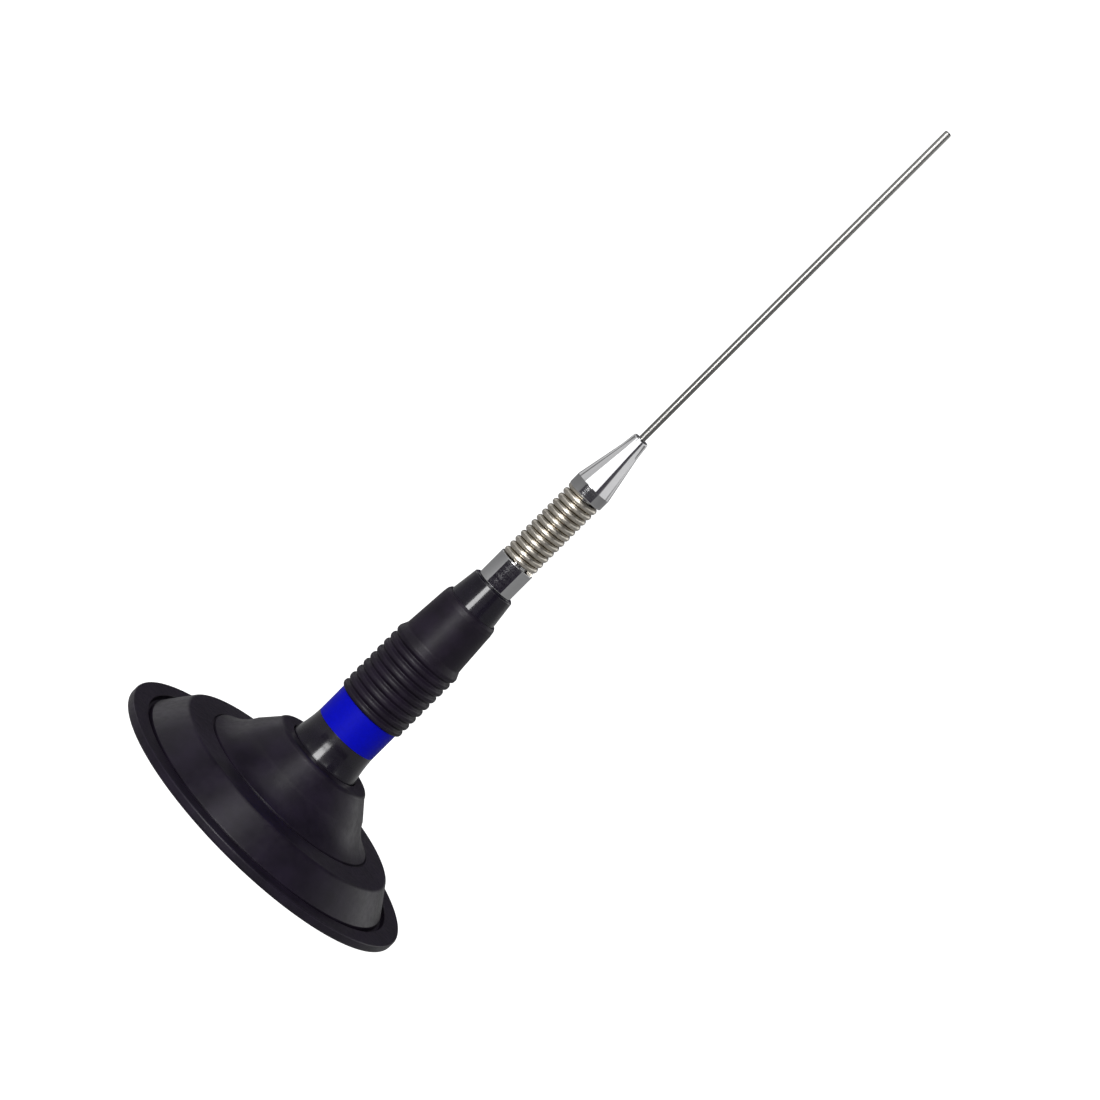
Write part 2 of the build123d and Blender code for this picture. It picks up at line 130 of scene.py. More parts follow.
class StudioSettings(bpy.types.PropertyGroup):
    """Camera and light."""

    camera_distance: length("Camera distance", "From the antenna's axis to the camera", 1070.0)
    camera_height: length("Camera height", "From the floor to the camera", 296.0)
    camera_pitch: bpy.props.FloatProperty(
        name="Camera pitch", description="Downward tilt", default=radians(7.29), subtype="ANGLE", unit="ROTATION"
    )
    camera_yaw: bpy.props.FloatProperty(
        name="Camera yaw", description="Turn to the right", default=radians(0.286), subtype="ANGLE", unit="ROTATION"
    )
    camera_roll: bpy.props.FloatProperty(
        name="Camera roll", description="Lean of the picture", default=radians(45.1), subtype="ANGLE", unit="ROTATION"
    )
    lens: bpy.props.FloatProperty(
        name="Lens", description="Focal length in millimetres", default=89.77, subtype="DISTANCE_CAMERA"
    )
    key_power: bpy.props.FloatProperty(
        name="Key light", description="Power of the large soft light in front", default=5.3, min=0.0, unit="POWER"
    )
    strip_power: bpy.props.FloatProperty(
        name="Strip light", description="Power of the narrow light", default=15.8, min=0.0, unit="POWER"
    )
    upper_power: bpy.props.FloatProperty(
        name="Upper light", description="Power of the narrow light above the camera", default=2.9, min=0.0, unit="POWER"
    )
    top_power: bpy.props.FloatProperty(
        name="Top light", description="Power of the light overhead", default=1.6, min=0.0, unit="POWER"
    )
    left_power: bpy.props.FloatProperty(
        name="Left light", description="Power of the soft light at the left", default=2.3, min=0.0, unit="POWER"
    )
    right_power: bpy.props.FloatProperty(
        name="Right light", description="Power of the soft light at the right", default=4.6, min=0.0, unit="POWER"
    )
    rim_power: bpy.props.FloatProperty(
        name="Rim lights", description="Power of each light behind the antenna", default=1.1, min=0.0, unit="POWER"
    )
    world_strength: bpy.props.FloatProperty(
        name="Room light", description="Strength of the light from all round", default=0.07, min=0.0
    )
    paper_glow: bpy.props.FloatProperty(
        name="Floor glow", description="Glow of the floor on the antenna. The camera sees 1 more", default=0.16, min=0.0
    )


# Modelling


def start_piece():
    """Leaves nothing selected, so that the next primitive is worked on alone."""
    if bpy.context.mode != "OBJECT":
        bpy.ops.object.mode_set(mode="OBJECT")
    bpy.ops.object.select_all(action="DESELECT")


def rounded(*corners):
    """Profile points from (radius, height, rounding) corners, with an arc at each rounding."""
    points = []
    for n, corner in enumerate(corners):
        here = Vector(corner[:2])
        rounding = corner[2] if len(corner) > 2 else 0.0
        if rounding <= 0 or n in (0, len(corners) - 1):
            points.append(tuple(here))
            continue
        before = Vector(corners[n - 1][:2]) - here
        after = Vector(corners[n + 1][:2]) - here
        turn = before.angle(after)
        reach = min(rounding / tan(turn / 2), EDGE_SHARE * before.length, EDGE_SHARE * after.length)
        radius = reach * tan(turn / 2)
        middle = here + (before.normalized() + after.normalized()).normalized() * (radius / sin(turn / 2))
        first = here + before.normalized() * reach
        last = here + after.normalized() * reach
        steps = max(2, ceil((pi - turn) / radians(ARC_STEP)))
        support = min(SUPPORT_SHARE * reach, SUPPORT_MOST)
        points.append(tuple(first + before.normalized() * support))
        start = first - middle
        sweep = start.angle_signed(last - middle)
        for step in range(steps + 1):
            arm = start.copy()
            arm.rotate(Matrix.Rotation(-sweep * step / steps, 2))
            points.append(tuple(middle + arm))
        points.append(tuple(last + after.normalized() * support))
    return points


def arc(start, through, end, steps):
    """Points on the arc through three (radius, height) points."""
    (ax, ay), (bx, by), (cx, cy) = start, through, end
    area = 2 * (ax * (by - cy) + bx * (cy - ay) + cx * (ay - by))
    a, b, c = ax * ax + ay * ay, bx * bx + by * by, cx * cx + cy * cy
    middle_x = (a * (by - cy) + b * (cy - ay) + c * (ay - by)) / area
    middle_y = (a * (cx - bx) + b * (ax - cx) + c * (bx - ax)) / area
    radius = hypot(ax - middle_x, ay - middle_y)
    first = atan2(ay - middle_y, ax - middle_x)
    last = atan2(cy - middle_y, cx - middle_x)
    via = atan2(by - middle_y, bx - middle_x)
    turn = (last - first) % (2 * pi)
    if (via - first) % (2 * pi) > turn:
        turn -= 2 * pi
    angles = [first + turn * n / steps for n in range(steps + 1)]
    return [(middle_x + radius * cos(angle), middle_y + radius * sin(angle)) for angle in angles]


def draw_profile(points, about_y=False, height=0.0):
    """Draws the profile vertex by vertex, as a primitive shrunk to a point and then extruded."""
    start_piece()
    places = [Vector((r, h, height)) * MM if about_y else Vector((r, 0, h)) * MM for r, h in points]
    bpy.ops.mesh.primitive_plane_add(size=MM, location=places[0])
    bpy.ops.object.mode_set(mode="EDIT")
    bpy.ops.mesh.select_mode(type="VERT")
    bpy.ops.mesh.select_all(action="SELECT")
    bpy.ops.mesh.merge(type="CENTER")
    for before, after in zip(places, places[1:]):
        bpy.ops.mesh.extrude_vertices_move(TRANSFORM_OT_translate={"value": after - before})


def settle(name, sharp=SHARP):
    """Names the piece, puts its place in its mesh and shades it smooth up to an angle."""
    bpy.ops.object.mode_set(mode="OBJECT")
    piece = bpy.context.object
    bpy.ops.object.transform_apply(location=True, rotation=True, scale=True)
    bpy.ops.object.shade_smooth_by_angle(angle=radians(sharp))
    piece.name = name
    piece.data.name = name
    return piece


def close_up(inside=False):
    """Merges doubled points and turns all faces outwards, or inwards, in edit mode."""
    bpy.ops.mesh.select_all(action="SELECT")
    bpy.ops.mesh.remove_doubles(threshold=DOUBLED)
    bpy.ops.mesh.normals_make_consistent(inside=inside)


def turned(name, points, steps=96, ring=False, about_y=False, height=0.0, sharp=SHARP):
    """A turned piece from its profile in millimetres. A ring's profile closes on itself."""
    draw_profile(points + points[:1] if ring else points, about_y, height)
    bpy.ops.mesh.select_all(action="SELECT")
    axis = (0, 1, 0) if about_y else (0, 0, 1)
    bpy.ops.mesh.spin(steps=steps, angle=2 * pi, center=(0, 0, height * MM), axis=axis)
    close_up()
    return settle(name, sharp)


def apply_modifier(piece, kind, **values):
    """Adds a modifier to the piece and applies it."""
    start_piece()
    bpy.context.view_layer.objects.active = piece
    piece.select_set(True)
    modifier = piece.modifiers.new("step", kind)
    for key, value in values.items():
        setattr(modifier, key, value)
    bpy.ops.object.modifier_apply(modifier=modifier.name)


def cut_with(piece, tool, operation="DIFFERENCE"):
    """Cuts the piece with a tool, which is used up, and marks the new edges sharp."""
    apply_modifier(piece, "BOOLEAN", object=tool, operation=operation, solver="EXACT")
    bpy.data.objects.remove(tool, do_unlink=True)
    bpy.ops.object.shade_smooth_by_angle(angle=radians(SHARP))


def join(name, *pieces):
    """Joins separate closed shells into one piece."""
    start_piece()
    for piece in pieces:
        piece.select_set(True)
    bpy.context.view_layer.objects.active = pieces[0]
    bpy.ops.object.join()
    pieces[0].name = name
    pieces[0].data.name = name
    return pieces[0]


def slice_off(height, keep_above):
    """Cuts the piece in edit mode level at a height in millimetres, and closes the cut."""
    bpy.ops.mesh.select_all(action="SELECT")
    bpy.ops.mesh.bisect(
        plane_co=(0, 0, height * MM),
        plane_no=(0, 0, 1),
        use_fill=True,
        clear_inner=keep_above,
        clear_outer=not keep_above,
    )


def peg(sides, radius, depth, place):
    """A cylinder along Y to cut with. Its sizes and its middle are in metres."""
    start_piece()
    bpy.ops.mesh.primitive_cylinder_add(
        vertices=sides, radius=radius, depth=depth, location=place, rotation=(pi / 2, 0, 0)
    )
    return bpy.context.object


def stand_for(piece, slot, node):
    """Gives the piece the finish of a material slot, and hides the CAD node that it stands for."""
    piece.data.materials.clear()
    piece.data.materials.append(finish_for(slot))
    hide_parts(node)


def dress(piece, slot, body, node):
    """Gives a stiff piece its finish and the body that it rides on, and hides the CAD node that it stands for."""
    stand_for(piece, slot, node)
    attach(piece, body)


def dress_bending(lower, upper, slot, node):
    """Gives two halves their finish, hides the CAD node that they stand for and puts their place in their meshes."""
    for piece in (lower, upper):
        stand_for(piece, slot, node)
    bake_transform(lower)
    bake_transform(upper)


# Finishes

# A noise pattern lies mostly between these, so its tint and its polish run from one to the other
TINT_ENDS = 0.35, 0.65
POLISH_ENDS = 0.3, 0.7


def finish(name, base, roughness, metallic=0.0, coat=0.0, coat_roughness=0.08, specular=0.5):
    """A Principled material. The frame has plain ones under the slots' names, so these have another name."""
    material = bpy.data.materials.new(name + "_finish")
    material.use_nodes = True
    shader = shader_of(material)
    shader.inputs["Base Color"].default_value = (*base, 1.0)
    shader.inputs["Roughness"].default_value = roughness
    shader.inputs["Metallic"].default_value = metallic
    shader.inputs["Coat Weight"].default_value = coat
    shader.inputs["Coat Roughness"].default_value = coat_roughness
    shader.inputs["Specular IOR Level"].default_value = specular
    return material


def finish_for(slot):
    """The finish of a material slot, made when it is first asked for."""
    return bpy.data.materials.get(slot + "_finish") or FINISHES[slot]()


def shader_of(material):
    """The material's Principled shader."""
    return material.node_tree.nodes["Principled BSDF"]


def noise(material, scale, stretch=(1.0, 1.0, 1.0), detail=3.0, seed=0.0):
    """A noise pattern in the piece's own space, with its scale in features per metre."""
    nodes, links = material.node_tree.nodes, material.node_tree.links
    place = nodes.new("ShaderNodeTexCoord")
    mapping = nodes.new("ShaderNodeMapping")
    mapping.inputs["Scale"].default_value = stretch
    mapping.inputs["Location"].default_value = (seed, seed * 0.7, seed * 0.3)
    texture = nodes.new("ShaderNodeTexNoise")
    texture.inputs["Scale"].default_value = scale
    texture.inputs["Detail"].default_value = detail
    links.new(place.outputs["Object"], mapping.inputs["Vector"])
    links.new(mapping.outputs["Vector"], texture.inputs["Vector"])
    return texture.outputs["Fac"]


def tint(material, pattern, dark, light):
    """Runs the base colour from dark to light along a pattern."""
    nodes, links = material.node_tree.nodes, material.node_tree.links
    ramp = nodes.new("ShaderNodeValToRGB")
    first, last = ramp.color_ramp.elements
    first.position, last.position = TINT_ENDS
    first.color, last.color = (*dark, 1.0), (*light, 1.0)
    links.new(pattern, ramp.inputs["Fac"])
    links.new(ramp.outputs["Color"], shader_of(material).inputs["Base Color"])


def polish(material, pattern, low, high):
    """Runs the roughness between two values along a pattern."""
    nodes, links = material.node_tree.nodes, material.node_tree.links
    spread = nodes.new("ShaderNodeMapRange")
    for name, value in zip(("From Min", "From Max", "To Min", "To Max"), (*POLISH_ENDS, low, high)):
        spread.inputs[name].default_value = value
    links.new(pattern, spread.inputs["Value"])
    links.new(spread.outputs["Result"], shader_of(material).inputs["Roughness"])


def relief(material, pattern, depth):
    """Raises the surface along a pattern by up to a depth in millimetres."""
    nodes, links = material.node_tree.nodes, material.node_tree.links
    bump = nodes.new("ShaderNodeBump")
    bump.inputs["Strength"].default_value = 1.0
    bump.inputs["Distance"].default_value = depth * MM
    links.new(pattern, bump.inputs["Height"])
    links.new(bump.outputs["Normal"], shader_of(material).inputs["Normal"])


def shade(colour_value, factor):
    """A lighter or darker colour."""
    return tuple(min(1.0, c * factor) for c in colour_value)


def colours():
    """The scene's settings for the colours."""
    return bpy.context.scene.antenna_colours


def boot_rubber():
    base = tuple(colours().rubber)
    material = finish("boot_rubber", base, 0.4, specular=0.26)
    tint(material, noise(material, 90.0, detail=6.0), shade(base, 0.8), shade(base, 1.45))
    polish(material, noise(material, 420.0, detail=4.0, seed=0.3), 0.3, 0.41)
    relief(material, noise(material, 2600.0, detail=4.0), 0.035)
    return material


def gland_rubber():
    base = (0.011, 0.011, 0.012)
    material = finish("gland_rubber", base, 0.6, specular=0.35)
    tint(material, noise(material, 240.0, detail=5.0), shade(base, 0.75), shade(base, 1.5))
    relief(material, noise(material, 3400.0), 0.03)
    return material


def gloss_black():
    base = tuple(colours().gloss_black)
    material = finish("gloss_black", base, 0.3, specular=0.1, coat=1.0, coat_roughness=0.13)
    tint(material, noise(material, 160.0, detail=5.0), shade(base, 0.8), shade(base, 1.3))
    polish(material, noise(material, 900.0, seed=1.1), 0.26, 0.34)
    relief(material, noise(material, 400.0, detail=1.0), 0.001)
    return material


def housing_black():
    base = tuple(colours().housing)
    material = finish("housing_black", base, 0.42, specular=0.24)
    tint(material, noise(material, 130.0, detail=6.0), shade(base, 0.8), shade(base, 1.4))
    polish(material, noise(material, 500.0, seed=0.4), 0.36, 0.48)
    relief(material, noise(material, 3000.0, detail=4.0), 0.02)
    return material


def blue_film():
    base = tuple(colours().label)
    material = finish("blue_film", base, 0.45, specular=0.1)
    tint(material, noise(material, 900.0, seed=2.0), shade(base, 0.93), shade(base, 1.06))
    polish(material, noise(material, 300.0, seed=0.9), 0.4, 0.5)
    relief(material, noise(material, 500.0, detail=1.0), 0.004)
    return material


def chrome():
    base = tuple(colours().chrome)
    material = finish("chrome", base, 0.1, metallic=1.0)
    tint(material, noise(material, 60.0, seed=0.8), shade(base, 0.93), shade(base, 1.04))
    polish(material, noise(material, 5000.0, (0.01, 0.01, 1.0)), 0.05, 0.1)
    relief(material, noise(material, 7000.0, (0.01, 0.01, 1.0), detail=1.0, seed=0.2), 0.0006)
    return material


def spring_steel():
    base = tuple(colours().spring)
    material = finish("spring_steel", base, 0.3, metallic=1.0)
    tint(material, noise(material, 500.0, detail=5.0), shade(base, 0.8), shade(base, 1.08))
    polish(material, noise(material, 1600.0, seed=0.5), 0.25, 0.35)
    relief(material, noise(material, 4000.0, detail=2.0), 0.003)
    return material


def whip_steel():
    base = tuple(colours().whip)
    material = finish("whip_steel", base, 0.22, metallic=1.0)
    tint(material, noise(material, 3000.0, (1.0, 1.0, 0.02), detail=4.0), shade(base, 0.94), shade(base, 1.05))
    polish(material, noise(material, 2000.0, (1.0, 1.0, 0.03), seed=0.6), 0.26, 0.36)
    relief(material, noise(material, 4000.0, (1.0, 1.0, 0.01)), 0.0004)
    return material


def plated(name, base, roughness):
    """Turned and plated metal, with fine rings round Z."""
    material = finish(name, base, roughness, metallic=1.0)
    tint(material, noise(material, 350.0, detail=5.0), shade(base, 0.82), shade(base, 1.1))
    polish(material, noise(material, 5000.0, (0.02, 0.02, 1.0)), roughness * 0.75, roughness * 1.3)
    relief(material, noise(material, 6000.0, (0.02, 0.02, 1.0), seed=0.3), 0.002)
    return material


def moulded(name, base, roughness, depth=0.015):
    """Moulded plastic or a fired part, with a fine grain."""
    material = finish(name, base, roughness, specular=0.4)
    tint(material, noise(material, 200.0, detail=6.0), shade(base, 0.85), shade(base, 1.15))
    polish(material, noise(material, 800.0, seed=0.7), roughness * 0.9, min(1.0, roughness * 1.15))
    relief(material, noise(material, 2500.0, detail=4.0), depth)
    return material


def copper_braid():
    base = (0.62, 0.3, 0.16)
    material = finish("copper_wire", base, 0.32, metallic=1.0)
    tint(material, noise(material, 1400.0, detail=5.0), shade(base, 0.6), shade(base, 1.15))
    polish(material, noise(material, 2500.0, seed=0.5), 0.25, 0.42)
    relief(material, noise(material, 5200.0), 0.01)
    return material


FINISHES = {
    "boot_rubber": boot_rubber,
    "gland_rubber": gland_rubber,
    "pad_film": lambda: moulded("pad_film", (0.02, 0.02, 0.021), 0.62, 0.03),
    "zinc_steel": lambda: plated("zinc_steel", (0.5, 0.5, 0.47), 0.36),
    "ferrite": lambda: moulded("ferrite", (0.035, 0.035, 0.038), 0.7, 0.03),
    "nylon": lambda: moulded("nylon", (0.55, 0.52, 0.42), 0.45),
    "plated_brass": lambda: plated("plated_brass", (0.62, 0.47, 0.2), 0.28),
    "tinned": lambda: plated("tinned", (0.6, 0.59, 0.56), 0.34),
    "gloss_black": gloss_black,
    "blue_film": blue_film,
    "housing_black": housing_black,
    "former_plastic": lambda: moulded("former_plastic", (0.4, 0.37, 0.3), 0.5),
    "copper_wire": copper_braid,
    "chrome": chrome,
    "spring_steel": spring_steel,
    "whip_steel": whip_steel,
    "black_steel": lambda: plated("black_steel", (0.05, 0.05, 0.052), 0.4),
}


def sizes():
    """The scene's settings for the sizes."""
    return bpy.context.scene.antenna_sizes


# Operators


class ANTENNA_OT_cad_finishes(bpy.types.Operator):
    """Gives every CAD node the finish of its material slot"""

    bl_idname = "antenna.cad_finishes"
    bl_label = "Finish the CAD nodes"

    def execute(self, context):
        for row in frame["record"]["subparts"]:
            node = frame["nodes"][row["node"]]
            if not node.material_slots:
                raise RuntimeError("a CAD node has no material slot: " + row["node"])
            for slot in node.material_slots:
                slot.material = finish_for(row["material_slot"])
        return {"FINISHED"}


class ANTENNA_OT_boot(bpy.types.Operator):
    """Moulds the rubber boot: rim, groove, sloping wall, shelf and bell"""

    bl_idname = "antenna.boot"
    bl_label = "Rubber boot"

    def execute(self, context):
        rim = span("base_boot")[2]
        bell_foot, bell_waist = (41.0, 17.2), (29.9, 27.4)
        bell_top, lip_round = (23.7, 34.8), (20.6, LIP_HEIGHT)
        lip_bore = 16.65
        outside = rounded(
            (60.8, 0.0),
            (rim, 0.0, 1.3),
            (rim, 4.0, 0.7),
            (64.6, 4.05, 0.3),
            (64.3, 1.6, 0.5),
            (62.7, 1.6, 0.5),
            (62.4, 4.0, 0.4),
            (53.9, 15.9, 2.2),
            (41.9, 16.75, 0.25),
            (41.6, 16.0, 0.25),
            (41.1, 16.0, 0.2),
            bell_foot,
        )
        flare = arc(bell_foot, (33.85, 22.1), bell_waist, steps=16)
        lip = arc(bell_top, (22.65, 36.3), lip_round, steps=7)
        inside = rounded(
            lip_round,
            (lip_bore, LIP_HEIGHT, 0.5),
            (lip_bore, PEDESTAL_TOP, 0.2),
            (21.0, PEDESTAL_TOP, 0.3),
            (37.5, 13.7, 0.3),
            (52.1, 13.7, 1.2),
            (60.6, 2.75, 0.5),
            (60.6, 0.0),
        )
        points = outside[:-1] + flare + lip + inside[1:-1]
        boot = turned("boot_shell", points, steps=160, ring=True)
        cut_with(boot, self.gland_way())
        dress(boot, "boot_rubber", "base", "base_boot")
        return {"FINISHED"}

    def gland_way(self):
        """The round way through the back of the bell for the gland."""
        low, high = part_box("cable_gland")
        depth, from_axis = 0.03, 0.034
        radius = (high[0] - low[0]) / 2 + GAP * MM
        return peg(48, radius, depth, ((low[0] + high[0]) / 2, from_axis, (low[2] + high[2]) / 2))


class ANTENNA_OT_gland(bpy.types.Operator):
    """Turns the cable gland, with its strain relief rings"""

    bl_idname = "antenna.gland"
    bl_label = "Cable gland"

    def execute(self, context):
        low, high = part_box("cable_gland")
        inner, outer = low[1] / MM, high[1] / MM
        bore, body, tip, nose_length = 2.6, high[0] / MM, 3.8, 5.0
        rings, first_ring, ring_pitch, ring_depth, edge = 3, 1.0, 1.3, 0.45, 0.12
        nose = outer - nose_length
        corners = [(bore, inner + SEAM), (body, inner, 0.2), (body, nose, 0.4)]
        for n in range(rings):
            at = nose + first_ring + ring_pitch * n
            radius = body + (tip - body) * (at - nose) / (outer - nose)
            corners += [(radius, at, edge), (radius - ring_depth, at + 0.15, edge)]
            corners += [(radius - ring_depth, at + 0.5, edge), (radius - 0.12, at + 0.65, edge)]
        corners += [(tip, outer, 0.35), (bore, outer, 0.25), (bore, inner + 2 * SEAM)]
        height = (low[2] + high[2]) / 2 / MM
        gland = turned("gland_sleeve", rounded(*corners), steps=64, ring=True, about_y=True, height=height)
        dress(gland, "gland_rubber", "base", "cable_gland")
        return {"FINISHED"}


class ANTENNA_OT_stud(bpy.types.Operator):
    """Turns the mounting stud and cuts its right-hand thread"""

    bl_idname = "antenna.stud"
    bl_label = "Mounting stud"

    def execute(self, context):
        bottom, top, flange = span("mount_stud")
        shank, crest, flange_height = 3.95, 4.7625, 1.2
        seat, flange_top = PEDESTAL_TOP, PEDESTAL_TOP + flange_height
        core, core_top = crest - 1.2, flange_top + 0.6
        body = turned(
            "stud_body",
            rounded(
                (0, bottom),
                (shank, bottom, 0.3),
                (shank, seat, 0.1),
                (flange, seat, 0.15),
                (flange, flange_top, 0.2),
                (core, flange_top, 0.1),
                (core, core_top),
                (0, core_top),
            ),
            steps=64,
        )
        thread = self.thread(crest, flange_top, top)
        stud = join("mounting_stud", body, thread)
        dress(stud, "plated_brass", "base", "mount_stud")
        return {"FINISHED"}

    def thread(self, crest, bottom, top):
        """A helix that is longer than the thread, cut level and trimmed by a blank with a chamfer."""
        pitch, depth = sizes().thread_pitch / MM, sizes().thread_depth / MM
        turns = ceil((top - bottom) / pitch) + 3
        root = crest - depth
        start = bottom - 1.5 * pitch
        draw_profile(
            [
                (root, start),
                (root, start + pitch * 0.1),
                (crest, start + pitch * 0.45),
                (crest, start + pitch * 0.65),
                (root, start + pitch),
            ]
        )
        bpy.ops.object.mode_set(mode="OBJECT")
        bpy.ops.object.transform_apply(location=True, rotation=True, scale=True)
        rod = bpy.context.object
        apply_modifier(
            rod,
            "SCREW",
            angle=2 * pi,
            screw_offset=pitch * MM,
            iterations=turns,
            steps=48,
            render_steps=48,
            use_merge_vertices=True,
            merge_threshold=DOUBLED,
        )
        bpy.ops.object.mode_set(mode="EDIT")
        close_up()
        slice_off(bottom + 0.02, True)
        slice_off(top, False)
        close_up()
        rod = settle("stud_thread")
        chamfer = [
            (0, bottom - 1),
            (crest + 1, bottom - 1),
            (crest + 1, top - 1.5),
            (crest - 0.75, top + 0.25),
            (0, top + 0.25),
        ]
        cut_with(rod, turned("thread_blank", chamfer, steps=48), "INTERSECT")
        return rod


class ANTENNA_OT_gasket(bpy.types.Operator):
    """Moulds the soft gasket under the neck"""

    bl_idname = "antenna.gasket"
    bl_label = "Neck gasket"

    def execute(self, context):
        bottom, top, outer = span("neck_gasket")
        inner, middle = 10.5, (bottom + top) / 2
        points = rounded(
            (inner, middle),
            (inner, bottom, 0.3),
            (outer, bottom, 0.35),
            (outer, top, 0.35),
            (inner, top, 0.3),
            (inner, middle + SEAM),
        )
        gasket = turned("gasket_ring", points, ring=True)
        dress(gasket, "gland_rubber", "neck_seal", "neck_gasket")
        return {"FINISHED"}


class ANTENNA_OT_neck(bpy.types.Operator):
    """Turns the glossy neck below the label"""

    bl_idname = "antenna.neck"
    bl_label = "Neck"

    def execute(self, context):
        bottom, top, foot = span("neck")
        waist, shelf = 14.45, span("label_band")[0] - GAP
        label_seat = waist - LABEL_THICKNESS - GAP
        insert_radius, insert_length, post_radius = 8.9, 18.0, 3.0
        insert, insert_top = insert_radius + GAP, span("thread_insert")[0] + insert_length + GAP
        post = post_radius + GAP
        housing_foot = span("coil_housing")[0] - GAP
        taper_foot, taper_top = (foot, LIP_HEIGHT), (waist, shelf - 0.3)
        sag, belly_share = 0.25, 0.45
        belly = ((foot + waist) / 2 - sag, LIP_HEIGHT + belly_share * (shelf - LIP_HEIGHT))
        taper = arc(taper_foot, belly, taper_top, steps=14)
        lower = rounded((insert, bottom + 0.4), (insert, bottom, 0.3), (foot, bottom, 0.4), taper_foot)
        upper = rounded(
            taper_top,
            (waist - 0.02, shelf, 0.12),
            (label_seat, shelf, 0.04),
            (label_seat, housing_foot, 0.1),
            (NECK_SPIGOT_RADIUS, housing_foot, 0.1),
            (NECK_SPIGOT_RADIUS, top, 0.4),
            (post, top, 0.1),
            (post, insert_top, 0.1),
            (insert, insert_top, 0.2),
            (insert, bottom + 0.5),
        )
        neck = turned("neck_turning", lower[:-1] + taper + upper[1:], steps=112, ring=True)
        dress(neck, "gloss_black", "radiator", "neck")
        return {"FINISHED"}


class ANTENNA_OT_label(bpy.types.Operator):
    """Wraps the plain blue film round the neck"""

    bl_idname = "antenna.label"
    bl_label = "Label"

    def execute(self, context):
        bottom, top, outer = span("label_band")
        inner = outer - LABEL_THICKNESS
        middle = (bottom + top) / 2
        points = rounded(
            (inner, middle),
            (inner, bottom),
            (outer, bottom, 0.07),
            (outer, top, 0.07),
            (inner, top),
            (inner, middle + SEAM),
        )
        label = turned("label_film", points, steps=128, ring=True)
        dress(label, "blue_film", "radiator", "label_band")
        return {"FINISHED"}


class ANTENNA_OT_housing(bpy.types.Operator):
    """Moulds the coil housing with its rounded grip ribs"""

    bl_idname = "antenna.housing"
    bl_label = "Ribbed housing"

    def execute(self, context):
        bottom, top, crest = span("coil_housing")
        groove, ribs, pitch = 14.45, 9, 3.86
        half = sizes().rib_crest / MM / 2
        crest_round, groove_round = sizes().rib_round / MM, sizes().groove_round / MM
        first = bottom + pitch / 3
        last = first + pitch * (ribs - 1)
        collar_foot_radius = 11.25
        bore, throat = NECK_SPIGOT_RADIUS + GAP, collar_foot_radius + GAP
        ledge = span("coil_former")[1] - GAP
        corners = [(bore, bottom + 1.0), (bore, bottom, 0.2), (groove, bottom, 0.15)]
        for n in range(ribs):
            middle = first + pitch * n
            corners.append((crest, middle - half, crest_round))
            corners.append((crest, middle + half, crest_round))
            if n < ribs - 1:
                corners.append((groove, middle + pitch / 2, groove_round))
        corners += [
            (14.25, last + 3.8, 1.6),
            (12.95, last + 22.8, 0.9),
            (12.6, last + 24.9, 0.9),
            (11.9, top, 0.25),
            (throat, top, 0.1),
            (throat, ledge, 0.1),
            (bore, ledge, 0.1),
            (bore, bottom + 1.1),
        ]
        housing = turned("ribbed_housing", rounded(*corners), steps=112, ring=True, sharp=40.0)
        dress(housing, "housing_black", "radiator", "coil_housing")
        return {"FINISHED"}


class ANTENNA_OT_collar(bpy.types.Operator):
    """Turns the glossy collar above the housing"""

    bl_idname = "antenna.collar"
    bl_label = "Upper collar"

    def execute(self, context):
        bottom, top, foot = span("upper_collar")
        housing_top = span("coil_housing")[1]
        flange_radius = 9.0
        recess, recess_top = flange_radius + GAP, bottom + 4.1
        tail = FERRULE_TAIL_RADIUS + GAP
        points = rounded(
            (recess, bottom + 2.0),
            (recess, bottom, 0.1),
            (foot, bottom, 0.2),
            (foot, housing_top, 0.4),
            (9.75, top - 0.6, 0.5),
            (9.05, top, 0.35),
            (tail, top, 0.1),
            (tail, recess_top, 0.1),
            (recess, recess_top, 0.1),
            (recess, bottom + 2.1),
        )
        collar = turned("collar_turning", points, ring=True)
        dress(collar, "gloss_black", "radiator", "upper_collar")
        return {"FINISHED"}


class ANTENNA_OT_ferrule(bpy.types.Operator):
    """Turns the chromed ferrule below the spring"""

    bl_idname = "antenna.ferrule"
    bl_label = "Spring ferrule"

    def execute(self, context):
        bottom, top, radius = span("spring_ferrule")
        seat = span("upper_collar")[1] + 0.02
        shoulder = span("spring")[0] - GAP
        points = rounded(
            (0, bottom),
            (FERRULE_TAIL_RADIUS, bottom, 0.3),
            (FERRULE_TAIL_RADIUS, seat, 0.1),
            (radius, seat, 0.35),
            (radius, shoulder, 0.4),
            (SPRING_SPIGOT_RADIUS, shoulder, 0.15),
            (SPRING_SPIGOT_RADIUS, top, 0.5),
            (0, top),
        )
        ferrule = turned("ferrule_turning", points)
        dress(ferrule, "chrome", "radiator", "spring_ferrule")
        return {"FINISHED"}


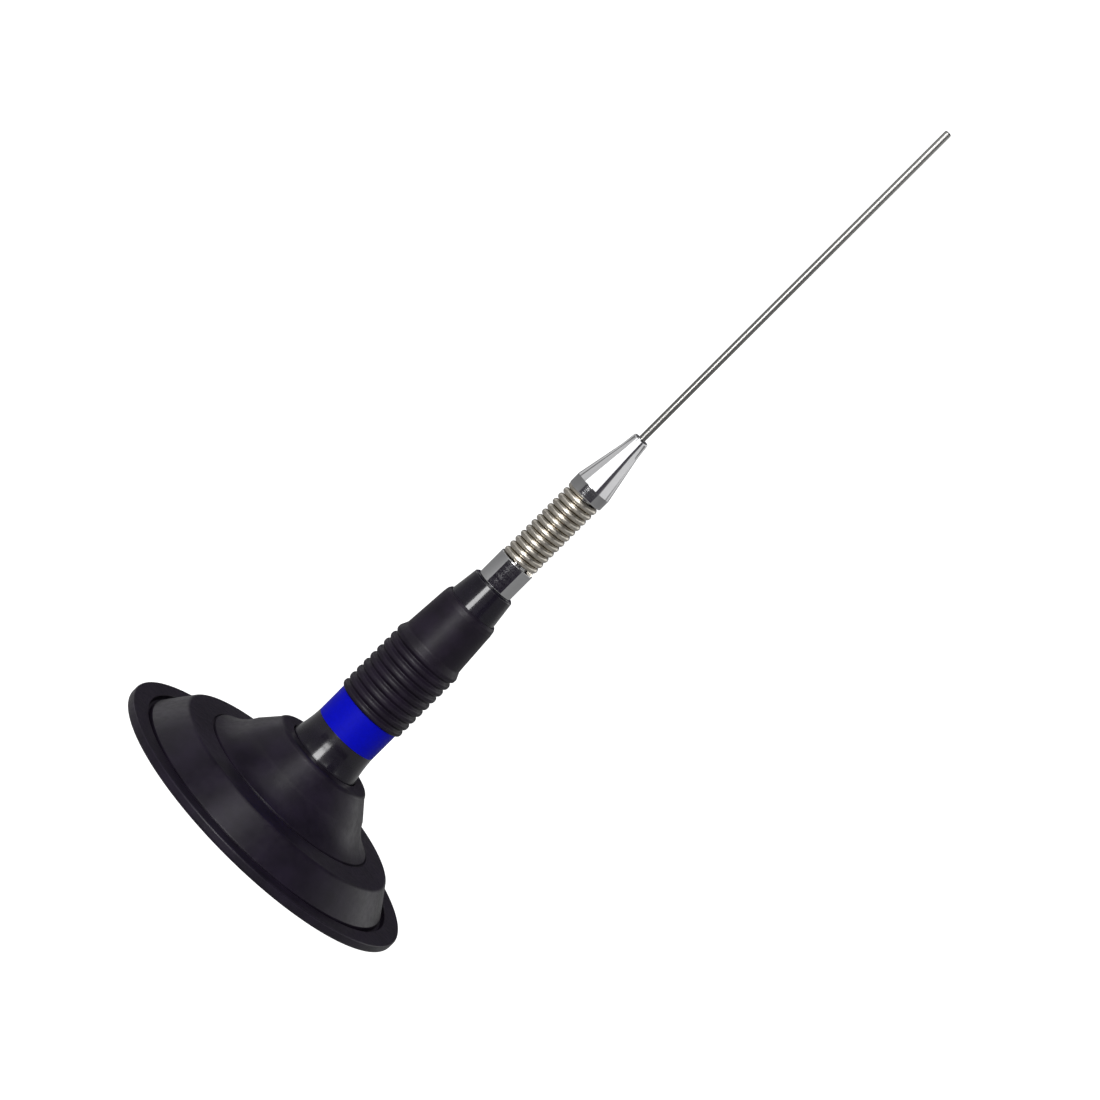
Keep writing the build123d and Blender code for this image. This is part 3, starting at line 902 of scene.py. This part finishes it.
class ANTENNA_OT_spring(bpy.types.Operator):
    """Winds the spring in two halves, with its ends ground flat"""

    bl_idname = "antenna.spring"
    bl_label = "Coil spring"

    def execute(self, context):
        bottom, top = span("spring")[:2]
        middle = (bottom + top) / 2
        lower = self.half("spring_lower", bottom, middle)
        upper = self.half("spring_upper", middle, top)
        dress_bending(lower, upper, "spring_steel", "spring")
        return {"FINISHED"}

    def half(self, name, bottom, top):
        """The whole coil, cut level at two heights."""
        wire, pitch = sizes().wire_radius / MM, sizes().spring_pitch / MM
        foot, head, outer = span("spring")
        rise = head - foot + wire / 2
        turns, turn_steps = rise / pitch, 40
        start_piece()
        bpy.ops.mesh.primitive_circle_add(
            vertices=18,
            radius=wire * MM,
            location=((outer - wire) * MM, 0, (foot - wire / 4) * MM),
            rotation=(pi / 2, 0, 0),
        )
        bpy.ops.object.transform_apply(location=True, rotation=True, scale=True)
        coil = bpy.context.object
        apply_modifier(
            coil,
            "SCREW",
            angle=2 * pi * turns,
            screw_offset=rise * MM,
            iterations=1,
            steps=round(turn_steps * turns),
            render_steps=round(turn_steps * turns),
            use_merge_vertices=False,
        )
        bpy.ops.object.mode_set(mode="EDIT")
        bpy.ops.mesh.select_mode(type="EDGE")
        bpy.ops.mesh.select_all(action="DESELECT")
        bpy.ops.mesh.select_non_manifold()
        bpy.ops.mesh.edge_face_add()
        close_up()
        slice_off(bottom, True)
        slice_off(top, False)
        close_up()
        return settle(name, sharp=40.0)


class ANTENNA_OT_braid(bpy.types.Operator):
    """Lays the copper braid inside the spring, in two halves"""

    bl_idname = "antenna.braid"
    bl_label = "Spring braid"

    def execute(self, context):
        bottom, top, radius = span("spring_braid")
        foot, head = span("spring")[:2]
        middle = (foot + head) / 2
        lower = self.rope("braid_lower", radius, bottom, middle)
        upper = self.rope("braid_upper", radius, middle, top)
        dress_bending(lower, upper, "copper_wire", "spring_braid")
        return {"FINISHED"}

    def rope(self, name, radius, bottom, top):
        """Eight strands laid round a core, as a lobed section that turns as it rises."""
        strands, hollow, fullness, lay, steps = 8, 0.16, 0.6, 14.0, 36
        start_piece()
        bpy.ops.mesh.primitive_circle_add(
            vertices=48, radius=radius * MM, location=(0, 0, bottom * MM), fill_type="NGON"
        )
        bpy.ops.object.transform_apply(location=True, rotation=True, scale=True)
        strand = bpy.context.object
        for vertex in strand.data.vertices:
            lobe = abs(cos(strands / 2 * atan2(vertex.co.y, vertex.co.x)))
            vertex.co.xy *= 1 - hollow + hollow * lobe ** fullness
        bpy.ops.object.mode_set(mode="EDIT")
        bpy.ops.mesh.select_all(action="SELECT")
        for _ in range(steps):
            bpy.ops.mesh.extrude_region_move(TRANSFORM_OT_translate={"value": (0, 0, (top - bottom) / steps * MM)})
        bpy.ops.object.mode_set(mode="OBJECT")
        for vertex in strand.data.vertices:
            turn = Matrix.Rotation((vertex.co.z / MM - bottom) / lay * 2 * pi, 3, "Z")
            vertex.co = turn @ vertex.co
        bpy.ops.object.mode_set(mode="EDIT")
        close_up()
        return settle(name, sharp=50.0)


class ANTENNA_OT_holder(bpy.types.Operator):
    """Turns the chromed cone that holds the whip, and drills its screw holes"""

    bl_idname = "antenna.holder"
    bl_label = "Whip holder"

    def execute(self, context):
        bottom, top, radius = span("whip_holder")
        skirt = span("spring")[1] + GAP
        skirt_height, nose_height, running_gap, floor_thickness = 5.0, 3.5, 0.06, 1.6
        cone_bottom, cone_top = skirt + skirt_height, top - nose_height
        bore, floor = span("whip")[2] + running_gap, bottom + floor_thickness
        waist_radius, waist = 4.24, cone_top - 3.5
        rings = 24
        side = [
            (radius + (waist_radius - radius) * n / rings, cone_bottom + (waist - cone_bottom) * n / rings)
            for n in range(1, rings + 1)
        ]
        body = rounded(
            (0, bottom),
            (SPRING_SPIGOT_RADIUS, bottom, 0.5),
            (SPRING_SPIGOT_RADIUS, skirt, 0.1),
            (radius, skirt, 0.4),
            (radius, cone_bottom, 0.5),
            *side,
            (3.4, top, 1.3),
            (bore, top, 0.12),
            (bore, floor, 0.1),
            (0, floor),
        )
        holder = turned("holder_turning", body, steps=112)
        hole, depth, from_axis = 1.5 * MM, 9.0 * MM, 5.6 * MM
        for place in self.screw_places():
            cut_with(holder, peg(40, hole, depth, (0, from_axis, place)))
        dress(holder, "chrome", "head", "whip_holder")
        return {"FINISHED"}

    @staticmethod
    def screw_places():
        """Heights of the axes of the two screws, in metres."""
        low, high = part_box("grub_screws")
        radius = (high[0] - low[0]) / 2
        return low[2] + radius, high[2] - radius


class ANTENNA_OT_grub_screws(bpy.types.Operator):
    """Turns the two grub screws with their hexagon sockets"""

    bl_idname = "antenna.grub_screws"
    bl_label = "Grub screws"

    def execute(self, context):
        low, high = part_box("grub_screws")
        tip, end = low[1] / MM, high[1] / MM
        radius = (high[0] - low[0]) / 2 / MM
        socket, socket_depth = sizes().socket_width / 2 / cos(pi / 6), 2.8 * MM
        chamfer, pitch, thread_depth = 0.35, 0.35, 0.15
        screws = []
        for place in ANTENNA_OT_holder.screw_places():
            corners = [(0, tip), (radius - chamfer, tip, 0.08), (radius, tip + chamfer, 0.05)]
            at = tip + 0.6
            while at + pitch < end - 0.2:
                corners += [(radius, at), (radius - thread_depth, at + pitch * 0.4), (radius, at + pitch * 0.8)]
                at += pitch
            corners += [(radius, end - 0.12, 0.05), (radius - 0.15, end, 0.05), (0, end)]
            screw = turned("screw", rounded(*corners), steps=40, about_y=True, height=place / MM)
            cut_with(screw, peg(6, socket, socket_depth, (0, end * MM, place)))
            screws.append(screw)
        pair = join("grub_screw_pair", *screws)
        dress(pair, "black_steel", "head", "grub_screws")
        return {"FINISHED"}


class ANTENNA_OT_whip(bpy.types.Operator):
    """Draws the whip, with its rounded tip"""

    bl_idname = "antenna.whip"
    bl_label = "Whip"

    def execute(self, context):
        bottom, top, radius = span("whip")
        points = rounded(
            (0, bottom),
            (radius, bottom, 0.3),
            (radius, (bottom + top) / 2),
            (radius, top, radius * 0.92),
            (0, top),
        )
        whip = turned("whip_rod", points, steps=40)
        dress(whip, "whip_steel", "whip", "whip")
        return {"FINISHED"}


class ANTENNA_OT_stage(bpy.types.Operator):
    """Sets the pale seamless floor, the soft lights and the camera"""

    bl_idname = "antenna.stage"
    bl_label = "Studio"

    def execute(self, context):
        studio = context.scene.antenna_studio
        self.sweep(studio)
        self.flags()
        self.lights(studio)
        self.camera(studio)
        context.scene.view_settings.view_transform = "Standard"
        return {"FINISHED"}

    def sweep(self, studio):
        """A round floor that curves up into a wall, so that no view has a horizon."""
        floor, foot_radius, bend = -0.2, 2600.0, 700.0
        top_radius, wall_height = 2900.0, 2600.0
        draw_profile(rounded((0, floor), (foot_radius, floor, bend), (top_radius, wall_height)))
        bpy.ops.mesh.select_all(action="SELECT")
        bpy.ops.mesh.spin(steps=96, angle=2 * pi, center=(0, 0, 0), axis=(0, 0, 1))
        close_up(inside=True)
        sweep = settle("studio_sweep")
        paper = finish("studio_paper", (0.25, 0.25, 0.25), 0.9, specular=0.1)
        nodes, links = paper.node_tree.nodes, paper.node_tree.links
        seen = nodes.new("ShaderNodeLightPath")
        lift = nodes.new("ShaderNodeMath")
        lift.inputs[1].default_value = studio.paper_glow
        links.new(seen.outputs["Is Camera Ray"], lift.inputs[0])
        shader_of(paper).inputs["Emission Color"].default_value = (1, 1, 1, 1)
        links.new(lift.outputs["Value"], shader_of(paper).inputs["Emission Strength"])
        sweep.data.materials.append(paper)

    def flags(self):
        """Dark flags in front, at the right and at the back, which the camera doesn't see."""
        felt = finish("studio_felt", (0.05, 0.04, 0.065), 0.95, specular=0.0)
        card = finish("studio_card", (0.2, 0.19, 0.22), 0.95, specular=0.0)
        self.flag("studio_flag_low", felt, 750, -51, 54, 0, 52)
        self.flag("studio_flag_front", felt, 750, -41, 51, 98, 118)
        self.flag("studio_flag_middle", card, 850, 27, 49, 170, 540)
        self.flag("studio_flag_back", felt, 900, 160, 200, 90, 420)

    def flag(self, name, cloth, radius, first, last, bottom, top):
        """A curved flag between two azimuths in degrees and two heights. Azimuth 0 is the camera's side."""
        draw_profile([(radius, bottom), (radius, top)])
        bpy.ops.mesh.select_all(action="SELECT")
        bpy.ops.mesh.spin(steps=24, angle=radians(last - first), center=(0, 0, 0), axis=(0, 0, 1))
        flag = settle(name)
        flag.rotation_euler = (0, 0, radians(last - 90))
        bpy.ops.object.transform_apply(location=True, rotation=True, scale=True)
        flag.data.materials.append(cloth)
        flag.visible_camera = False
        flag.visible_shadow = False

    def soft_light(self, name, azimuth, elevation, distance, width, height, power):
        """An area light aimed at the antenna. Azimuth 0 is the camera's side, and grows to the right."""
        aim = Vector((0, 0, 0.14))
        round_about, upwards = radians(azimuth), radians(elevation)
        side = Vector((sin(round_about) * cos(upwards), -cos(round_about) * cos(upwards), sin(upwards)))
        start_piece()
        bpy.ops.object.light_add(type="AREA", location=aim + side * distance)
        light = bpy.context.object
        light.name = name
        light.rotation_euler = side.to_track_quat("Z", "Y").to_euler()
        light.data.shape = "RECTANGLE"
        light.data.size = width
        light.data.size_y = height
        light.data.energy = power

    def lights(self, studio):
        """Adds the lights, by azimuth and elevation in degrees, then distance, width and height in metres."""
        self.soft_light("key_light", -16, 20, 1.5, 2.7, 0.42, studio.key_power)
        self.soft_light("strip_light", -15, 15, 1.45, 0.5, 0.9, studio.strip_power)
        self.soft_light("upper_light", -25, 54, 1.4, 0.28, 0.7, studio.upper_power)
        self.soft_light("top_light", -75, 76, 1.5, 0.5, 0.7, studio.top_power)
        self.soft_light("left_light", -80, 21, 1.7, 1.9, 0.75, studio.left_power)
        self.soft_light("right_light", 98, 21, 1.7, 3.0, 0.75, studio.right_power)
        for name, azimuth in (("rim_light_left", -135), ("rim_light_right", 135)):
            self.soft_light(name, azimuth, 13, 1.7, 0.8, 0.9, studio.rim_power)
        world = bpy.data.worlds.new("studio_room")
        world.use_nodes = True
        background = world.node_tree.nodes["Background"]
        background.inputs["Color"].default_value = (0.95, 0.97, 1.0, 1.0)
        background.inputs["Strength"].default_value = studio.world_strength
        bpy.context.scene.world = world

    def camera(self, studio):
        """Adds the photo's camera, whose roll makes the upright antenna lean in the picture."""
        yaw, pitch, roll = studio.camera_yaw, studio.camera_pitch, studio.camera_roll
        right = Vector((cos(yaw), -sin(yaw), 0))
        up = Vector((sin(yaw) * sin(pitch), cos(yaw) * sin(pitch), cos(pitch)))
        ahead = Vector((sin(yaw) * cos(pitch), cos(yaw) * cos(pitch), -sin(pitch)))
        leaned_right = right * cos(roll) + up * sin(roll)
        leaned_up = up * cos(roll) - right * sin(roll)
        turn = Matrix((leaned_right, leaned_up, -ahead)).transposed()
        start_piece()
        place = (0, -studio.camera_distance, studio.camera_height)
        bpy.ops.object.camera_add(location=place, rotation=turn.to_euler())
        camera = bpy.context.object
        camera.name = "photo_camera"
        camera.data.lens = studio.lens
        camera.data.sensor_width = 36.0
        camera.data.clip_start = 0.01
        bpy.context.scene.camera = camera


OPERATORS = (
    ANTENNA_OT_cad_finishes,
    ANTENNA_OT_boot,
    ANTENNA_OT_gland,
    ANTENNA_OT_stud,
    ANTENNA_OT_gasket,
    ANTENNA_OT_neck,
    ANTENNA_OT_label,
    ANTENNA_OT_housing,
    ANTENNA_OT_collar,
    ANTENNA_OT_ferrule,
    ANTENNA_OT_spring,
    ANTENNA_OT_braid,
    ANTENNA_OT_holder,
    ANTENNA_OT_grub_screws,
    ANTENNA_OT_whip,
    ANTENNA_OT_stage,
)


class ANTENNA_PT_panel(bpy.types.Panel):
    """Lists the pieces of the antenna and the studio"""

    bl_idname = "ANTENNA_PT_panel"
    bl_label = "Antenna"
    bl_space_type = "VIEW_3D"
    bl_region_type = "UI"
    bl_category = "Antenna"

    def draw(self, context):
        for settings in ("antenna_sizes", "antenna_colours", "antenna_studio"):
            group = getattr(context.scene, settings)
            box = self.layout.box()
            for name in group.__annotations__:
                box.prop(group, name)
        for operator in OPERATORS:
            self.layout.operator(operator.bl_idname)


GROUPS = {"antenna_sizes": AntennaSizes, "antenna_colours": AntennaColours, "antenna_studio": StudioSettings}


def register():
    for name, group in GROUPS.items():
        bpy.utils.register_class(group)
        setattr(bpy.types.Scene, name, bpy.props.PointerProperty(type=group))
    for operator in OPERATORS:
        bpy.utils.register_class(operator)
    bpy.utils.register_class(ANTENNA_PT_panel)


def unregister():
    bpy.utils.unregister_class(ANTENNA_PT_panel)
    for operator in reversed(OPERATORS):
        bpy.utils.unregister_class(operator)
    for name, group in GROUPS.items():
        delattr(bpy.types.Scene, name)
        bpy.utils.unregister_class(group)


def main():
    register()
    for operator in OPERATORS:
        family, name = operator.bl_idname.split(".")
        result = getattr(getattr(bpy.ops, family), name)()
        if result != {"FINISHED"}:
            raise RuntimeError(operator.bl_label + " did not finish")


if __name__ == "__main__":
    main()
